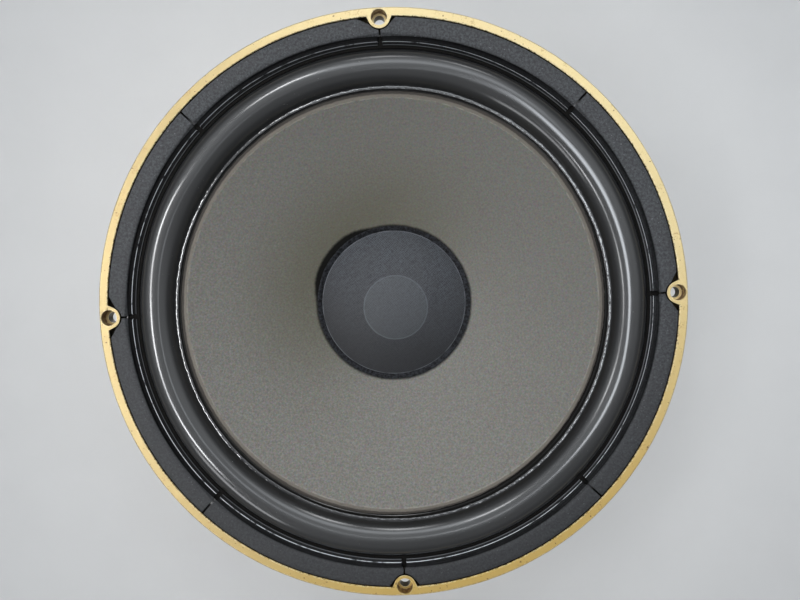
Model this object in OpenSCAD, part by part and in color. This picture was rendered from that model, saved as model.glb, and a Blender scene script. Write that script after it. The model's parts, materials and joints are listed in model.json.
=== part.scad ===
// Fifteen-inch woofer: cast basket, rubber half-roll surround, felted paper cone, four-inch coil, cup magnet.
// Millimetres. The origin is the centre of the rim's rear mounting face; +Z points out of the front.

/* [Rim] */
// Outside diameter of the rim
rim_d = 388; // [380:1:400]
// Thickness of the rim, front face to rear mounting face
rim_t = 14; // [13:0.5:18]
// Width of the bare painted band round the front face
rim_band_w = 5.8; // [4.5:0.1:7]
// Depth of the gasket recess below the front face
recess_depth = 4.5; // [4:0.1:6]
// Width of the ledge that the surround and the gasket lie on
ledge_w = 20.2; // [18:0.2:21]
// Chamfer round the rim's front edge
rim_chamfer = 0.8; // [0.3:0.1:1.5]

/* [Mounting holes] */
// Distance from the rim's edge to each mounting hole's centre
bolt_edge = 6.5; // [6:0.1:8]
// Number of mounting holes
bolt_count = 4; // [4:4:8]
// Diameter of each mounting hole
bolt_hole_d = 7; // [5:0.5:7.5]
// Diameter of the counterbore for the screw head
counterbore_d = 10.5; // [9:0.5:11]
// Depth of the counterbore
counterbore_depth = 6.8; // [4:0.1:8]
// Diameter of the boss round each mounting hole
boss_d = 14.5; // [14:0.5:18]
// Slope of the boss's shoulders where it runs into the rim, in degrees
boss_shoulder = 25; // [10:1:30]

/* [Gasket] */
// Number of gasket segments
gasket_count = 8; // [4:4:12]
// Gap between two gasket segments
gasket_gap = 1.2; // [0.8:0.1:3]
// How far the gasket's face lies below the rim's face
gasket_sunk = 0.4; // [0.2:0.1:0.8]
// Width of the gasket's flat face
gasket_face_w = 11.8; // [9:0.2:13]
// Width of the groove inside the flat face
gasket_groove_w = 2.8; // [2:0.1:4]
// Depth of the groove below the gasket's face
gasket_groove_depth = 1.9; // [1:0.1:2.2]
// Radius of the bead along the groove's inner side
gasket_bead_r = 0.7; // [0.5:0.1:0.9]
// Width of the thin lip inside the bead
gasket_lip_w = 2.2; // [1.5:0.1:3]
// Thickness of the lip
gasket_lip_t = 0.8; // [0.6:0.1:1.2]
// Length of the slanting cut at a segment's corner beside a boss
gasket_corner_w = 13; // [10:0.5:18]
// Depth of the slanting cut
gasket_corner_depth = 5; // [3:0.5:7]

/* [Surround] */
// Thickness of the rubber
surround_t = 0.8; // [0.6:0.1:1]
// Half the width of the roll, foot to foot
roll_half_w = 11.35; // [10:0.05:12]
// Height of the roll above its feet
roll_h = 9.1; // [6:0.1:10.5]
// Width of the inner lip that is glued to the cone
surround_lip_w = 4; // [3:0.1:5]

/* [Cone] */
// Thickness of the cone's paper
cone_t = 1.2; // [0.8:0.1:1.6]
// Width of the cone's flat edge
cone_flange_w = 8.1; // [6.5:0.1:9]
// Depth of the cone from its edge to its neck
cone_depth = 56; // [52:0.5:57]
// Width of the adhesive bead on the cone's edge
edge_bead_w = 3; // [2:0.1:3.4]
// Height of the adhesive bead
edge_bead_h = 1; // [0.6:0.1:1.4]

/* [Dust cap] */
// How far the cap's dome reaches past the coil former
cap_dome_over = 3; // [2.4:0.1:4]
// Width of the cap's glued skirt
cap_skirt_w = 4; // [2.5:0.1:6]
// Height of the dome above its edge
cap_dome_h = 13; // [8:0.5:18]
// Thickness of the cap
cap_t = 0.8; // [0.5:0.1:1.2]

/* [Voice coil] */
// Inside diameter of the coil former
former_d = 100; // [99.5:0.1:100.6]
// Wall of the coil former
former_t = 0.4; // [0.3:0.05:0.5]
// Thickness of the winding
winding_t = 1.2; // [0.8:0.1:1.6]
// Height of the winding
winding_h = 19; // [14:0.5:22]

/* [Spider] */
// Outside diameter of the spider
spider_d = 195; // [190:1:196]
// Thickness of the spider's cloth
spider_t = 0.6; // [0.5:0.05:0.8]
// Width of the spider's flat outer rim
spider_rim_w = 9; // [8:0.5:10]
// Number of half waves across the spider
spider_waves = 8; // [6:2:10]
// Rise of each wave above and below the spider's plane
spider_wave_h = 1.8; // [1.2:0.1:2.2]
// Thickness of the ring that clamps the spider's rim
clamp_ring_t = 2; // [1.5:0.1:2.5]

/* [Basket] */
// Depth from the rim's rear face to the basket's magnet face
basket_depth = 70; // [69:0.5:74]
// Thickness of the basket's wall
basket_wall = 5; // [4:0.25:6]
// Number of arms
arm_count = 8; // [8:2:10]
// Width of each arm where it meets the rim
arm_w_top = 21; // [16:1:26]
// Width of each arm where it meets the spider seat
arm_w_bottom = 19; // [14:1:22]
// Thickness of the rib along each arm
rib_t = 5; // [3:0.5:7]
// Height of the rib above the arm's back
rib_h = 6; // [3:0.5:8]
// Draft of the rib: how much thinner its crown is than its foot
rib_draft = 1.6; // [0:0.2:2]
// Radius of the windows' corners
window_corner_r = 7; // [4:0.5:9]
// Depth of the spider seat below the rim's rear face
spider_seat_depth = 52; // [51:0.5:53]
// Thickness of the flange that bolts to the magnet
magnet_flange_t = 6; // [5:0.5:7]

/* [Magnet] */
// Outside diameter of the magnet cup
magnet_d = 160; // [158:1:164]
// Height of the magnet cup
magnet_cup_h = 50; // [48:0.5:56]
// Wall of the magnet cup
magnet_cup_wall = 12; // [11:0.5:13]
// Thickness of the magnet cup's floor
magnet_cup_floor = 12; // [10:0.5:14]
// Radius of the magnet cup's rear edge
magnet_cup_edge_r = 5; // [2:0.5:8]
// Thickness of the top plate
top_plate_t = 9; // [8:0.5:10]
// Clearance between the winding and the top plate's bore
winding_clear = 1.4; // [1:0.1:2.4]
// Clearance between the pole piece and the coil former
pole_clear = 0.8; // [0.5:0.1:1.5]
// Height of the pole piece
pole_h = 14; // [12:0.5:15]
// Diameter of the magnet slug
slug_d = 90; // [80:1:92]
// Number of cap screws that hold the magnet
magnet_screw_count = 8; // [4:2:8]
// Shank diameter of the cap screws
magnet_screw_d = 6; // [5:0.5:6]

/* [Terminals] */
// Distance between the two terminal posts
post_spacing = 24; // [20:1:28]
// Depth of the posts below the rim's rear face
post_depth = 32; // [31:0.5:33]
// Width of the terminal board
board_w = 50; // [46:1:54]
// Thickness of the terminal board
board_t = 3; // [2:0.5:4]
// Radius of the terminal board's corners
board_corner_r = 3; // [1:0.5:4]
// Travel of the push buttons
button_travel = 3.5; // [3:0.1:3.8]
// Outside diameter of the push buttons
button_d = 11.5; // [11:0.1:13]
// Diameter of the wire hole through button and post
wire_hole_d = 2.4; // [1.6:0.1:2.6]

/* [Leads] */
// Diameter of the braided leads
lead_d = 2.2; // [1.6:0.1:2.6]
// Sag of the leads between lug and cone
lead_sag = 6; // [4:0.5:7]

/* [Hidden] */
$fn = 96;

// Gap between pieces that move past each other
running_gap = 0.3;
// Slack round a screw's shank
screw_slack = 0.2;
// Overreach of a cutting shape past the face that it cuts
over = 1;

// Rim and ledge
rim_r = rim_d / 2;
recess_r = rim_r - rim_band_w;
ledge_z = rim_t - recess_depth;
ledge_r = recess_r - ledge_w;
bolt_r = rim_r - bolt_edge;
boss_r = boss_d / 2;
boss_clear = 0.5;

// Surround and cone edge
surround_r = recess_r - 0.8;
roll_mid_r = ledge_r - 0.3 - roll_half_w;
roll_in_r = roll_mid_r - roll_half_w;
roll_mid_z = ledge_z + surround_t / 2;
roll_arc_r = (pow(roll_half_w, 2) + pow(roll_h, 2)) / (2 * roll_h);
roll_centre_z = roll_mid_z + roll_h - roll_arc_r;
lip_in_r = roll_in_r - surround_lip_w;
cone_edge_r = roll_in_r - cone_flange_w;

// Cone
former_out_r = former_d / 2 + former_t;
neck_r = former_out_r + 0.1;
cone_slope = cone_depth / (cone_edge_r - neck_r);
cone_drop = cone_t / cos(atan(cone_slope));
neck_z = ledge_z - cone_depth;
function cone_z(r) = neck_z + (r - neck_r) * cone_slope;

// Dust cap
cap_seat = 0.1;
cap_dome_r = former_out_r + cap_dome_over;
cap_skirt_r = cap_dome_r + cap_skirt_w;
cap_edge_z = cone_z(cap_dome_r) + cap_seat + cap_t / cos(atan(cone_slope));
cap_sphere_r = (pow(cap_dome_r, 2) + pow(cap_dome_h, 2)) / (2 * cap_dome_h);
cap_sphere_z = cap_edge_z + cap_dome_h - cap_sphere_r;

// Basket
magnet_face_z = -basket_depth;
flange_top_z = magnet_face_z + magnet_flange_t;
seat_z = -spider_seat_depth;
spider_r = spider_d / 2;
seat_wall_r = spider_r + 0.5;
seat_in_r = spider_r - spider_rim_w + 0.8;
seat_ring_r = seat_wall_r + 8;
seat_ring_z = seat_z - 2;
shell_r = rim_r - 18;
shell_slope = -seat_ring_z / (shell_r - seat_ring_r);
shell_rise = basket_wall / cos(atan(shell_slope));
function shell_out_z(r) = seat_ring_z + (r - seat_ring_r) * shell_slope;
function shell_in_z(r) = shell_out_z(r) + shell_rise;
magnet_flange_r = magnet_d / 2 + 8;
window_in_x = seat_ring_r - 1;
window_out_x = ledge_r - 12;

// Magnet
plate_bottom_z = magnet_face_z - top_plate_t;
cup_bottom_z = plate_bottom_z - magnet_cup_h;
cup_floor_z = cup_bottom_z + magnet_cup_floor;
gap_outer_r = former_out_r + winding_t + winding_clear;
pole_r = former_d / 2 - pole_clear;
pole_top_z = magnet_face_z + 2;
pole_bottom_z = pole_top_z - pole_h;
gap_mid_z = magnet_face_z - top_plate_t / 2;
winding_top_z = gap_mid_z + winding_h / 2;
former_top_z = neck_z + 1.5;
cup_wall_mid_r = magnet_d / 2 - magnet_cup_wall / 2;
screw_head_r = magnet_screw_d * 0.83;
screw_head_h = magnet_screw_d * 0.83;
screw_bite = 12;
screw_hole_depth = 14;

// Spider
spider_in_r = former_out_r + running_gap;
wave_in_r = spider_in_r + 3;
wave_out_r = spider_r - spider_rim_w;
wave_pitch = (wave_out_r - wave_in_r) / spider_waves;
wave_r = (pow(wave_pitch / 2, 2) + pow(spider_wave_h, 2)) / (2 * spider_wave_h);
spider_mid_z = seat_z + spider_t / 2;
spider_collar_h = 3;

// Terminals: the board stands upright in the window on the -Y side
pad_y = -(seat_ring_r + 6);
board_y = pad_y - board_t;
post_z = -post_depth;
pad_w = board_w - 6;
pad_bottom_z = seat_ring_z - 3;
pad_top_z = seat_z + 6;
board_bottom_z = pad_bottom_z + 1;
board_top_z = post_z + 9;
board_screw_x = board_w / 2 - 8;
board_screw_z = (pad_bottom_z + pad_top_z) / 2 + 1;
board_screw_d = 3;
collar_t = 2;
stem_r = 2.2;
stem_out_y = board_y - collar_t - 12.5;
bore_r = stem_r + running_gap;
button_r = button_d / 2;
cavity_r = button_r - 1.1;
collar_r = cavity_r - 0.4;
button_in_y = board_y - button_travel - 0.4;
shoulder_y = button_in_y - 7;
bore_end_y = stem_out_y - button_travel - running_gap;
button_out_y = bore_end_y - 2;
stem_hole_y = shoulder_y - 1.3;
button_hole_y = stem_hole_y - button_travel;
lug_t = 0.8;
nut_t = 2.4;
lug_tail = 8;

// Braided leads hang between the lugs and the pads on the cone's back
lead_out_w = 5;
pad_r_out = 71;
pad_r_in = 65;
lead_start = [pad_y + lug_t + lead_d / 2, post_z - lug_tail + 1.5];
lead_end_r = (pad_r_in + pad_r_out) / 2;
lead_pad_t = 1.2;
lead_end = [-lead_end_r, cone_z(lead_end_r) - cone_drop - lead_pad_t
    - (lead_d / 2 + running_gap) / cos(atan(cone_slope))];
lead_chord = lead_end - lead_start;
lead_r = (pow(norm(lead_chord) / 2, 2) + pow(lead_sag, 2)) / (2 * lead_sag);
lead_half = asin(norm(lead_chord) / 2 / lead_r);
lead_tilt = atan2(lead_chord[1], lead_chord[0]);
lead_centre = (lead_start + lead_end) / 2 + turn([0, lead_r - lead_sag], lead_tilt);

// A convex outline with rounded corners: pts run anticlockwise, r is the corner radius
function turn(v, a) = [v[0] * cos(a) - v[1] * sin(a), v[0] * sin(a) + v[1] * cos(a)];
function unit(v) = v / norm(v);
function corner_centre(a, b, c, r) =
    let (u = unit(a - b), w = unit(c - b), m = unit(u + w))
    b + m * r / sin(acos(u * w) / 2);
function edge_foot(b, u, centre) = b + u * ((centre - b) * u);

module rounded_outline(pts, r) {
    n = len(pts);
    centres = [for (i = [0:n - 1]) corner_centre(pts[(i + n - 1) % n], pts[i], pts[(i + 1) % n], r)];
    polygon([for (i = [0:n - 1], side = [-1, 1])
        edge_foot(pts[i], unit(pts[(i + n + side) % n] - pts[i]), centres[i])]);
    for (c = centres) translate(c) circle(r = r);
}

// A cylinder along Y from y0 outwards to y1, which is further along -Y
module cylinder_y(r, y0, y1) {
    translate([0, y0, 0]) rotate([90, 0, 0]) cylinder(r = r, h = y0 - y1);
}

module at_bolts() {
    for (i = [0:bolt_count - 1]) rotate(360 / bolt_count * i) translate([bolt_r, 0, 0]) children();
}

// Half width of a boss of radius r between its sloping shoulders, x outwards from its middle
function shoulder_half_w(r, x) = r * cos(boss_shoulder) + (x + r * sin(boss_shoulder)) * tan(boss_shoulder);

// A round boss of radius r whose shoulders slope into the rim
module boss_outline(r) {
    foot = r * [-sin(boss_shoulder), cos(boss_shoulder)];
    end_x = recess_r - bolt_r + 1;
    end_y = shoulder_half_w(r, end_x);
    circle(r = r);
    polygon([foot, [foot[0], -foot[1]], [end_x, -end_y], [end_x, end_y]]);
}

module at_magnet_screws() {
    for (i = [0:magnet_screw_count - 1])
        rotate(360 / magnet_screw_count * (i + 0.5)) translate([cup_wall_mid_r, 0, 0]) children();
}

module at_posts(side) {
    translate([side * post_spacing / 2, 0, post_z]) children();
}

module at_board_screws() {
    for (side = [-1, 1]) translate([side * board_screw_x, 0, board_screw_z]) children();
}

// Frame

module basket_section() {
    polygon([
        [rim_r, 0], [rim_r, rim_t - rim_chamfer], [rim_r - rim_chamfer, rim_t],
        [recess_r + rim_chamfer / 2, rim_t], [recess_r, rim_t - rim_chamfer / 2],
        [recess_r, ledge_z], [ledge_r, ledge_z], [ledge_r, shell_in_z(ledge_r)],
        [seat_wall_r + 5, shell_in_z(seat_wall_r + 5)], [seat_wall_r, shell_in_z(seat_wall_r + 5)],
        [seat_wall_r, seat_z], [seat_in_r, seat_z], [seat_in_r, flange_top_z],
        [gap_outer_r + 5, flange_top_z], [gap_outer_r + 5, magnet_face_z],
        [magnet_flange_r, magnet_face_z], [seat_ring_r - 5, seat_ring_z - 7],
        [seat_ring_r, seat_ring_z], [shell_r, 0]
    ]);
}

module window_cut() {
    half = 180 / arm_count;
    in_half_y = window_in_x * tan(half) - arm_w_bottom / 2 / cos(half);
    out_half_y = window_out_x * tan(half) - arm_w_top / 2 / cos(half);
    translate([0, 0, magnet_face_z]) linear_extrude(basket_depth + ledge_z / 2)
        rounded_outline([[window_in_x, -in_half_y], [window_out_x, -out_half_y],
            [window_out_x, out_half_y], [window_in_x, in_half_y]], window_corner_r);
}

// Upright slab in the XZ plane, centred on Y
module slab_y(t) {
    rotate([90, 0, 0]) translate([0, 0, -t / 2]) linear_extrude(t) children();
}

// A bar along the arm's back whose sides taper from the arm towards the rib's crown
module rib_bar() {
    inside = 5;
    below = rib_h + 2;
    taper = rib_draft / rib_h / 2;
    half = rib_t / 2;
    reach = 15;
    translate([seat_ring_r, 0, seat_ring_z]) rotate([0, -atan(shell_slope), 0]) rotate([90, 0, 90])
        translate([0, 0, -reach]) linear_extrude(norm([shell_r - seat_ring_r, seat_ring_z]) + 2 * reach) polygon([
            [-half - taper * inside, inside], [-half + taper * below, -below],
            [half - taper * below, -below], [half + taper * inside, inside]
        ]);
}

module arm_rib() {
    in_r = seat_ring_r - 7;
    foot_r = shell_r - 6;
    intersection() {
        slab_y(rib_t * 2) polygon([
            [in_r, shell_out_z(in_r) + 3], [in_r, shell_out_z(in_r) - 3],
            [in_r + 9, shell_out_z(in_r + 9) - rib_h], [foot_r, shell_out_z(foot_r) - rib_h],
            [shell_r, -rib_h / 2], [shell_r, 3], [foot_r, 3]
        ]);
        rib_bar();
    }
}

module terminal_pad() {
    translate([-pad_w / 2, pad_y, pad_bottom_z])
        cube([pad_w, seat_ring_r - seat_wall_r + 4, pad_top_z - pad_bottom_z]);
}

module frame() {
    color("#d9bd78") difference() {
        union() {
            difference() {
                rotate_extrude() basket_section();
                for (i = [0:arm_count - 1]) rotate(360 / arm_count * i) window_cut();
            }
            for (i = [0:arm_count - 1]) rotate(360 / arm_count * (i + 0.5)) arm_rib();
            linear_extrude(rim_t) intersection() {
                at_bolts() boss_outline(boss_r);
                circle(r = rim_r - 2);
            }
            difference() {
                terminal_pad();
                translate([0, 0, pad_bottom_z - over])
                    cylinder(r = seat_wall_r + 2, h = pad_top_z - pad_bottom_z + 2 * over);
            }
        }
        at_bolts() {
            translate([0, 0, -over]) cylinder(d = bolt_hole_d, h = rim_t + 2 * over);
            translate([0, 0, rim_t - counterbore_depth]) cylinder(d = counterbore_d, h = counterbore_depth + over);
        }
        at_magnet_screws() translate([0, 0, magnet_face_z - over])
            cylinder(d = magnet_screw_d + 2 * screw_slack, h = magnet_flange_t + 2 * over);
        at_board_screws() cylinder_y(board_screw_d / 2 + screw_slack / 2, pad_y + 9, pad_y - over);
    }
}

// Gasket

module gasket_section() {
    top = rim_t - gasket_sunk;
    base = ledge_z + surround_t;
    out_r = recess_r - 0.5;
    face_r = out_r - gasket_face_w;
    bead_r = face_r - gasket_groove_w;
    groove_z = top - gasket_groove_depth;
    polygon([[out_r, base], [out_r, top], [face_r, top], [face_r - 0.9, groove_z], [bead_r, groove_z],
        [bead_r - gasket_lip_w, base + gasket_lip_t], [bead_r - gasket_lip_w, base]]);
    translate([bead_r, groove_z]) circle(r = gasket_bead_r);
}

module gasket_segment(i) {
    span = 360 / gasket_count;
    gap_angle = gasket_gap / bolt_r * 180 / PI;
    color("#3b3b3e") difference() {
        rotate(span * (i - 1) + gap_angle / 2) rotate_extrude(angle = span - gap_angle) gasket_section();
        at_bolts() {
            linear_extrude(rim_t) boss_outline(boss_r + boss_clear);
            translate([recess_r - bolt_r, 0, 0]) linear_extrude(rim_t) polygon([
                [0, -gasket_corner_w], [0, gasket_corner_w],
                [-gasket_corner_depth, boss_r], [-gasket_corner_depth, -boss_r]
            ]);
        }
    }
}

// Surround

module surround() {
    color("#1c1c1f") difference() {
        rotate_extrude() {
            translate([ledge_r - 0.5, ledge_z]) square([surround_r - ledge_r + 0.5, surround_t]);
            translate([lip_in_r, ledge_z]) square([surround_lip_w + 0.5, surround_t]);
            intersection() {
                translate([roll_mid_r, roll_centre_z]) difference() {
                    circle(r = roll_arc_r + surround_t / 2);
                    circle(r = roll_arc_r - surround_t / 2);
                }
                translate([lip_in_r, ledge_z]) square([surround_r - lip_in_r, roll_h + 5]);
            }
        }
        at_bolts() cylinder(r = shoulder_half_w(boss_r, surround_r - bolt_r) + boss_clear, h = rim_t);
    }
}

// Cone and what rides on it

module cone() {
    color("#75736a") rotate_extrude() polygon([
        [neck_r, neck_z], [cone_edge_r, ledge_z], [roll_in_r, ledge_z], [roll_in_r, ledge_z - cone_t],
        [cone_edge_r + (cone_drop - cone_t) / cone_slope, ledge_z - cone_t], [neck_r, neck_z - cone_drop]
    ]);
}

module edge_adhesive() {
    base = ledge_z + surround_t;
    in_r = lip_in_r + 0.2;
    shoulder_w = edge_bead_w / 7;
    shoulder_h = edge_bead_h * 0.65;
    color("#101012") rotate_extrude() polygon([
        [in_r, base], [in_r + shoulder_w, base + shoulder_h],
        [in_r + edge_bead_w / 3, base + edge_bead_h], [in_r + edge_bead_w * 2 / 3, base + edge_bead_h],
        [in_r + edge_bead_w - shoulder_w, base + shoulder_h], [in_r + edge_bead_w, base]
    ]);
}

module dust_cap() {
    skirt_drop = cap_t / cos(atan(cone_slope));
    lift = cap_seat;
    color("#4a4d54") rotate_extrude() {
        polygon([
            [cap_dome_r - 1, cone_z(cap_dome_r - 1) + lift], [cap_skirt_r, cone_z(cap_skirt_r) + lift],
            [cap_skirt_r, cone_z(cap_skirt_r) + lift + skirt_drop],
            [cap_dome_r - 1, cone_z(cap_dome_r - 1) + lift + skirt_drop]
        ]);
        intersection() {
            translate([0, cap_sphere_z]) difference() {
                circle(r = cap_sphere_r);
                circle(r = cap_sphere_r - cap_t);
            }
            translate([0, cap_edge_z - 0.6]) square([cap_dome_r, cap_dome_h + 3]);
        }
    }
}

module coil_former() {
    height = former_top_z - (winding_top_z - winding_h) + 1;
    color("#c2a06a") translate([0, 0, former_top_z - height]) difference() {
        cylinder(r = former_out_r, h = height);
        translate([0, 0, -over]) cylinder(d = former_d, h = height + 2 * over);
    }
}

module voice_coil() {
    color("#b5652f") translate([0, 0, winding_top_z - winding_h]) difference() {
        cylinder(r = former_out_r + winding_t, h = winding_h);
        translate([0, 0, -over]) cylinder(r = former_out_r, h = winding_h + 2 * over);
    }
}

// Flat wires glued to the cone's back, each ending in a solder pad
module coil_lead_outs() {
    pad_angle = 2 * asin(lead_out_w / 2 / pad_r_out);
    strip_angle = pad_angle / 3;
    color("#c77a45") for (side = [-1, 1]) {
        mid = 270 + side * asin(post_spacing / 2 / pad_r_out);
        for (strip = [[neck_r + 3, pad_r_in + 1, strip_angle, 0.5], [pad_r_in, pad_r_out, pad_angle, lead_pad_t]])
            rotate(mid - strip[2] / 2) rotate_extrude(angle = strip[2]) polygon([
                [strip[0], cone_z(strip[0]) - cone_drop], [strip[0], cone_z(strip[0]) - cone_drop - strip[3]],
                [strip[1], cone_z(strip[1]) - cone_drop - strip[3]], [strip[1], cone_z(strip[1]) - cone_drop]
            ]);
    }
}

// Spider

module spider_wave(k) {
    up = k % 2 == 0 ? 1 : -1;
    centre_z = spider_mid_z + up * (spider_wave_h - wave_r);
    low_z = up > 0 ? spider_mid_z : spider_mid_z - spider_wave_h - spider_t;
    intersection() {
        translate([wave_in_r + wave_pitch * (k + 0.5), centre_z]) difference() {
            circle(r = wave_r + spider_t / 2);
            circle(r = wave_r - spider_t / 2);
        }
        translate([wave_in_r + wave_pitch * k - 0.15, low_z])
            square([wave_pitch + 0.3, spider_wave_h + spider_t]);
    }
}

module spider() {
    color("#b98a4a") rotate_extrude() {
        translate([wave_out_r - 0.3, seat_z]) square([spider_rim_w + 0.3, spider_t]);
        translate([spider_in_r, seat_z]) square([3.3, spider_t]);
        translate([spider_in_r, seat_z]) square([spider_t, spider_collar_h]);
        for (k = [0:spider_waves - 1]) spider_wave(k);
    }
}

module spider_clamp_ring() {
    color("#6b5a45") translate([0, 0, seat_z + spider_t]) difference() {
        cylinder(r = spider_r - 0.2, h = clamp_ring_t);
        translate([0, 0, -over]) cylinder(r = wave_out_r + 1, h = clamp_ring_t + 2 * over);
    }
}

// Magnet

module top_plate() {
    color("#8d8f92") translate([0, 0, plate_bottom_z]) difference() {
        cylinder(d = magnet_d, h = top_plate_t);
        translate([0, 0, -over]) cylinder(r = gap_outer_r, h = top_plate_t + 2 * over);
        at_magnet_screws() translate([0, 0, -over])
            cylinder(d = magnet_screw_d + 2 * screw_slack, h = top_plate_t + 2 * over);
    }
}

module pole_piece() {
    chamfer = 1.5;
    color("#8d8f92") rotate_extrude() polygon([
        [0, pole_bottom_z], [slug_d / 2, pole_bottom_z], [pole_r, plate_bottom_z + 1],
        [pole_r, pole_top_z - chamfer], [pole_r - chamfer, pole_top_z], [0, pole_top_z]
    ]);
}

module magnet_slug() {
    color("#5d6064") translate([0, 0, cup_floor_z]) cylinder(d = slug_d, h = pole_bottom_z - cup_floor_z);
}

module magnet_cup() {
    out_r = magnet_d / 2;
    in_r = out_r - magnet_cup_wall;
    height = plate_bottom_z - cup_bottom_z;
    color("#cdb070") difference() {
        rotate_extrude() difference() {
            translate([0, cup_bottom_z]) {
                square([out_r - magnet_cup_edge_r, height]);
                translate([0, magnet_cup_edge_r]) square([out_r, height - magnet_cup_edge_r]);
                translate([out_r - magnet_cup_edge_r, magnet_cup_edge_r]) circle(r = magnet_cup_edge_r);
            }
            translate([-over, cup_floor_z]) square([in_r + over, height]);
        }
        at_magnet_screws() translate([0, 0, plate_bottom_z - screw_hole_depth])
            cylinder(d = magnet_screw_d + 2 * screw_slack, h = screw_hole_depth + over);
    }
}

module magnet_screws() {
    length = magnet_flange_t + top_plate_t + screw_bite;
    color("#3a3a3c") at_magnet_screws() difference() {
        union() {
            translate([0, 0, flange_top_z]) cylinder(r = screw_head_r, h = screw_head_h);
            translate([0, 0, flange_top_z - length]) cylinder(d = magnet_screw_d, h = length + over);
        }
        translate([0, 0, flange_top_z + screw_head_h * 0.45])
            cylinder(d = magnet_screw_d * 0.95, h = screw_head_h, $fn = 6);
    }
}

// Terminals

module terminal_board() {
    color("#5a3a22") difference() {
        translate([0, board_y + board_t / 2, 0]) slab_y(board_t) rounded_outline([
            [-board_w / 2, board_bottom_z], [board_w / 2, board_bottom_z],
            [board_w / 2, board_top_z], [-board_w / 2, board_top_z]
        ], board_corner_r);
        for (side = [-1, 1]) at_posts(side) cylinder_y(stem_r + 0.1, pad_y + over, board_y - over);
        at_board_screws() cylinder_y(board_screw_d / 2 + screw_slack, pad_y + over, board_y - over);
    }
}

module terminal_board_screws() {
    color("#b9b9b4") at_board_screws() difference() {
        union() {
            cylinder_y(board_screw_d / 2, pad_y + 8, board_y);
            cylinder_y(board_screw_d * 0.95, board_y, board_y - 1.8);
        }
        translate([0, board_y - 1.8, 0]) cube([board_screw_d * 2, 1.6, 0.8], center = true);
    }
}

module terminal_post(side) {
    color("#c9b37a") at_posts(side) difference() {
        union() {
            cylinder_y(stem_r, pad_y + lug_t + nut_t + 1, stem_out_y);
            cylinder_y(collar_r, board_y, board_y - collar_t);
            translate([0, pad_y + lug_t + nut_t, 0]) rotate([90, 0, 0]) cylinder(r = 4, h = nut_t, $fn = 6);
        }
        translate([0, stem_hole_y, -button_r]) cylinder(d = wire_hole_d, h = 2 * button_r);
    }
}

module terminal_button(side) {
    color(side > 0 ? "#b3241c" : "#1a1a1a") at_posts(side) difference() {
        union() {
            cylinder_y(button_r, button_in_y, button_out_y + 1);
            cylinder_y(button_r - 1, button_in_y, button_out_y);
        }
        cylinder_y(cavity_r, button_in_y + over, shoulder_y);
        cylinder_y(bore_r, button_in_y + over, bore_end_y);
        translate([0, button_hole_y, -button_r - over]) cylinder(d = wire_hole_d, h = 2 * button_r + 2 * over);
    }
}

module terminal_spring(side) {
    wall = 0.7;
    color("#a8a8a8") at_posts(side) difference() {
        cylinder_y(bore_r + wall + 0.2, board_y - collar_t, shoulder_y);
        cylinder_y(bore_r + 0.2, board_y - collar_t + over, shoulder_y - over);
    }
}

module solder_lug(side) {
    color("#d0c9b0") at_posts(side) difference() {
        union() {
            cylinder_y(3.4, pad_y + lug_t, pad_y);
            translate([-1.6, pad_y, -lug_tail]) cube([3.2, lug_t, lug_tail]);
        }
        cylinder_y(stem_r, pad_y + lug_t + over, pad_y - over);
    }
}

module tinsel_lead(side) {
    color("#a4602f") translate([side * post_spacing / 2, lead_centre[0], lead_centre[1]])
        rotate([lead_tilt, 0, 0]) rotate([0, 90, 0]) rotate([0, 0, -lead_half])
            rotate_extrude(angle = 2 * lead_half) translate([lead_r, 0]) circle(d = lead_d);
}

frame();
for (i = [1:gasket_count]) gasket_segment(i);
surround();
cone();
edge_adhesive();
dust_cap();
coil_former();
voice_coil();
coil_lead_outs();
spider();
spider_clamp_ring();
top_plate();
pole_piece();
magnet_slug();
magnet_cup();
magnet_screws();
terminal_board();
terminal_board_screws();
terminal_post(1);  // terminal_post_red
terminal_post(-1);  // terminal_post_black
terminal_button(1);  // terminal_button_red
terminal_button(-1);  // terminal_button_black
terminal_spring(1);  // terminal_spring_red
terminal_spring(-1);  // terminal_spring_black
solder_lug(1);  // solder_lug_red
solder_lug(-1);  // solder_lug_black
tinsel_lead(1);  // tinsel_lead_red
tinsel_lead(-1);  // tinsel_lead_black
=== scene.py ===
"""A fifteen-inch woofer on its back, with a gold basket, rubber roll, felted cone and cloth dust cap."""
import json
import math
import random

import bmesh
import bpy
from mathutils import Matrix, Vector, noise


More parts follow.
